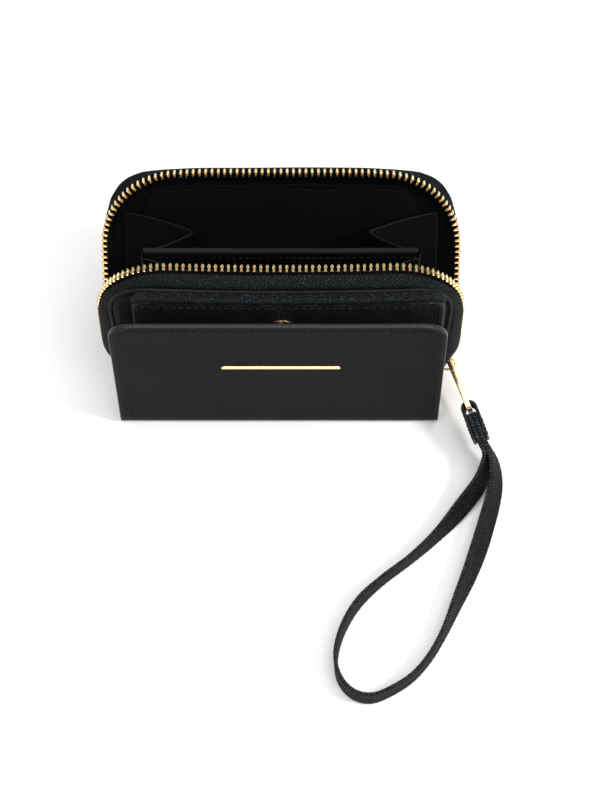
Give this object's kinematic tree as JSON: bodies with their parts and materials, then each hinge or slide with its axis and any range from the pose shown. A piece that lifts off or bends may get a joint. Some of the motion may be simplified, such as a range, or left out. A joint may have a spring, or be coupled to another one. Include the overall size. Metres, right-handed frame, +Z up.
{
  "type": "wristlet wallet",
  "caption": "Zip-around wallet that stands open on its spine, with a fold-down front flap pocket, a gusseted divider and a wrist strap on the zip puller.",
  "frame": {"origin": "middle of the flat underside of the spine, on the floor", "axes": "+Z up, -Y out of the flap side, +X to the right when facing the flap"},
  "size_m": [0.1381, 0.1664, 0.0902],
  "materials": {
    "grained_leather": "fine cross-grained, semi-matt black",
    "smooth_leather": "smooth black with painted edges",
    "lining_fabric": "black woven lining",
    "zip_tape": "black zip tape",
    "gold_metal": "polished light gold",
    "stiffener_board": "dark stiffener board",
    "strap_webbing": "black ribbed webbing"
  },
  "bodies": {
    "front_half": {"base_cover": "grained_leather", "base_board": "stiffener_board", "base_lining": "lining_fabric", "front_cover": "grained_leather", "front_board": "stiffener_board", "front_lining": "lining_fabric", "front_slip_pocket": "lining_fabric", "front_zip_tape": "zip_tape", "front_zip_teeth": "gold_metal", "front_top_stop": "gold_metal", "bottom_stop": "gold_metal", "zip_tail_left": "zip_tape", "zip_tail_right": "zip_tape", "front_panel": "grained_leather", "pocket_panel": "grained_leather", "pocket_edge": "smooth_leather", "snap_stud": "gold_metal", "divider_foot": "lining_fabric", "gusset_front_left": "lining_fabric", "gusset_front_right": "lining_fabric"},
    "divider": {"divider_front": "lining_fabric", "divider_rear": "lining_fabric", "divider_binding": "smooth_leather", "gusset_rear_left": "lining_fabric", "gusset_rear_right": "lining_fabric"},
    "rear_half": {"rear_cover": "grained_leather", "rear_board": "stiffener_board", "rear_lining": "lining_fabric", "rear_slip_pocket": "lining_fabric", "rear_zip_tape": "zip_tape", "rear_zip_teeth": "gold_metal", "rear_top_stop": "gold_metal"},
    "flap": {"flap_outer": "grained_leather", "flap_board": "stiffener_board", "flap_lining": "smooth_leather", "snap_socket": "gold_metal", "flap_bar": "gold_metal"},
    "slider": {"slider_body": "gold_metal", "slider_bail": "gold_metal"},
    "puller": {"puller_frame": "gold_metal"},
    "strap": {"strap_tab": "smooth_leather", "strap_webbing": "strap_webbing"}
  },
  "joints": [
    {"name": "rear_fold", "type": "hinge", "parent": "divider", "child": "rear_half", "pos_m": [0, 0, 0.022], "axis": [1, 0, 0], "range_deg": [-10, 21.9], "deforming": ["gusset_rear_left", "gusset_rear_right", "gusset_front_left", "gusset_front_right"]},
    {"name": "divider_fold", "type": "hinge", "parent": "front_half", "child": "divider", "pos_m": [0, 0, 0.022], "axis": [1, 0, 0], "range_deg": [-6.4, 14.45], "deforming": ["gusset_front_left", "gusset_front_right", "gusset_rear_left", "gusset_rear_right"]},
    {"name": "flap_fold", "type": "hinge", "parent": "front_half", "child": "flap", "pos_m": [0, -0.0142, 0.0012], "axis": [1, 0, 0], "range_deg": [-1.9, 40]},
    {"name": "slider_travel", "type": "slide", "parent": "front_half", "child": "slider", "axis": [0.3714, 0, 0.9285], "range_m": [0, 0.01]},
    {"name": "puller_swing", "type": "hinge", "parent": "slider", "child": "puller", "pos_m": [0.0587, -0.0016, 0.0158], "axis": [0.1475, 0.2028, -0.968], "range_deg": [-40, 10]},
    {"name": "strap_swing", "type": "hinge", "parent": "puller", "child": "strap", "pos_m": [0.06535, -0.01815, 0.01335], "axis": [0.1475, 0.2028, -0.968], "range_deg": [-30, 10]}
  ],
  "couplings": [
    {"joint": "divider_fold", "follows": "rear_fold", "ratio": 0.63717}
  ]
}
